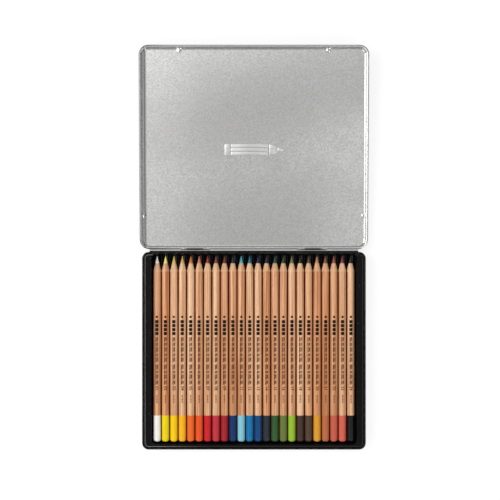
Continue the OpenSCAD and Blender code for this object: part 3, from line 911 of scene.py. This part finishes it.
# %% Pressed mark in the lid
mark_side, facet_side, groove = 5.2, 1.6, 0.35
panels = [raised_panel(-27.5, -22.5, -mark_side, mark_side)]
for low, high in ((-mark_side, -facet_side - groove), (-facet_side, facet_side),
                  (facet_side + groove, mark_side)):
    panels.append(raised_panel(-21.3, 13.5, low, high))
panels.append(raised_panel(14.7, 21.6, -mark_side, mark_side, 0.5))
panels.append(raised_panel(22.4, 27.5, -2.1, 2.1, 0.3))
emblem = join(panels, "lid_pressed_pencil")
emblem.data.transform(Matrix.Translation((0, 1.8 * MM, lid_height - 0.5 * MM)))
turn_open = (Matrix.Translation(pin) @ Matrix.Rotation(-open_angle, 4, "X")
             @ Matrix.Translation(-pin))
emblem.data.transform(turn_open)
bpy.ops.object.shade_smooth_by_angle(angle=math.radians(50))
emblem.data.materials.append(mark_finish)
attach(emblem, "lid")
print("pressed mark spans y", [round(v / MM, 1) for v in (
    min(v.co.y for v in emblem.data.vertices), max(v.co.y for v in emblem.data.vertices))])

# %% [markdown]
# The floor is plain and pale, and keeps the tin's shadow. Seen by the camera or in bare metal it
# gives light of its own, a little more far from the tin, so that it reads as a white ground
# without a stronger lamp on the tin. Rays that light the tin see only plain pale paper.

# %% Floor
def sees_background(tree):
    """1 for rays that show a background: the camera's, and those off metal or through glass."""
    path = tree.nodes.new("ShaderNodeLightPath").outputs
    return calc(tree, "MAXIMUM", path["Is Camera Ray"], calc(
        tree, "MAXIMUM", path["Is Glossy Ray"], path["Is Transmission Ray"]))


bpy.ops.mesh.primitive_plane_add(size=8, location=(0, 0, -0.02 * MM))
floor = bpy.context.object
floor.name = "floor"
white, tree, shader, place, axes = start_material(
    "white_floor", Roughness=0.9, Specular_IOR_Level=0.0)
seen = sees_background(tree)
feed(tree, shader, Base_Color=mix(tree, seen, (0.8, 0.8, 0.8, 1), (0.25, 0.25, 0.25, 1)))
from_tin = put(tree, "VectorMath", {0: place}, operation="LENGTH").outputs["Value"]
far_off = spread(tree, between(tree, from_tin, 0.7, 1.8), 0.8, 1.0)
glow = put(tree, "Emission", {"Color": (1, 1, 1, 1),
                              "Strength": calc(tree, "MULTIPLY", seen, far_off)})
both = put(tree, "AddShader", {0: shader.outputs[0], 1: glow.outputs[0]})
tree.links.new(both.outputs[0], tree.nodes["Material Output"].inputs["Surface"])
floor.data.materials.append(white)
print("floor ready")

# %% [markdown]
# Every lamp is a rectangle that glows evenly, so shadows stay soft. Its power follows from its
# size and from how bright it looks, and then lamps of different sizes can be compared.

# %% Helper for lamps
def soft_lamp(name, place, size, glow, aim=None, turn=0.0):
    """A rectangle that glows evenly; glow is how bright it looks, 1 being white paper in light."""
    lamp = bpy.data.lights.new(name, "AREA")
    lamp.shape = "RECTANGLE"
    lamp.size, lamp.size_y = size
    lamp.energy = glow * math.pi * size[0] * size[1]
    thing = bpy.data.objects.new(name, lamp)
    thing.location = place
    if aim:
        thing.rotation_euler = (Vector(aim) - Vector(place)).to_track_quat("-Z", "Y").to_euler()
    else:
        thing.rotation_euler.z = math.radians(turn)
    bpy.context.scene.collection.objects.link(thing)
    return thing


print("lamp helper ready")

# %% [markdown]
# A large soft lamp stands at the upper left, as in the photograph: it lights the left flanks of
# the pencils and the right wall of the lid. Three weaker ones fill from the corners. Bare tin
# shows what hangs above it, so broad panels of very low glow overhead, each a little higher than
# the last, draw the soft slanting bands in the lid.

# %% Lamps
middle = (0, 0.06, 0)
soft_lamp("key_lamp", (-1.2, 0.4, 1.15), (1.0, 1.2), 3.9, aim=middle)
soft_lamp("front_right_lamp", (1.0, -1.0, 1.25), (1.1, 1.1), 2.5, aim=middle)
soft_lamp("front_left_lamp", (-1.0, -1.0, 1.25), (1.1, 1.1), 2.1, aim=middle)
soft_lamp("rear_lamp", (0.0, 1.6, 1.3), (1.6, 1.0), 0.75, aim=middle)
soft_lamp("upper_panel", (-0.19, 0.59, 1.6), (1.0, 0.5), 0.18, turn=25.8)
soft_lamp("far_panel", (0.0, 0.52, 1.62), (0.8, 0.24), 0.16)
soft_lamp("lower_panel", (0.020, 0.155, 1.64), (0.9, 0.080), 0.20, turn=13)
soft_lamp("left_panel", (-0.34, 0.30, 1.66), (0.30, 1.2), 0.24)
soft_lamp("side_panel", (0.33, 0.05, 1.68), (0.26, 0.5), 0.20)

# %% [markdown]
# The room is white to the camera. In bare metal its horizon is as white, but its ceiling is
# darker, because the open lid faces straight up and shows it.

# %% Room
room = bpy.data.worlds.new("white_room")
bpy.context.scene.world = room
room.use_nodes = True
tree = room.node_tree
tree.nodes.clear()
heading = tree.nodes.new("ShaderNodeTexCoord").outputs["Generated"]
upward = put(tree, "SeparateXYZ", {0: heading}).outputs["Z"]
to_ceiling = calc(tree, "POWER", calc(tree, "MAXIMUM", upward, 0.0), 3.0)
strength = spread(tree, to_ceiling, 0.21, 0.56)
horizon = calc(tree, "MULTIPLY", sees_background(tree), between(tree, upward, 0.22, 0.0))
straight = tree.nodes.new("ShaderNodeLightPath").outputs["Is Camera Ray"]
strength = mix_value(tree, calc(tree, "MAXIMUM", straight, horizon), strength, 1.0)
walls = put(tree, "Background", {"Color": (1, 1, 1, 1), "Strength": strength})
world_out = tree.nodes.new("ShaderNodeOutputWorld")
tree.links.new(walls.outputs[0], world_out.inputs["Surface"])
bpy.context.scene.view_settings.view_transform = "Standard"
print("room ready:", len(tree.nodes), "nodes")
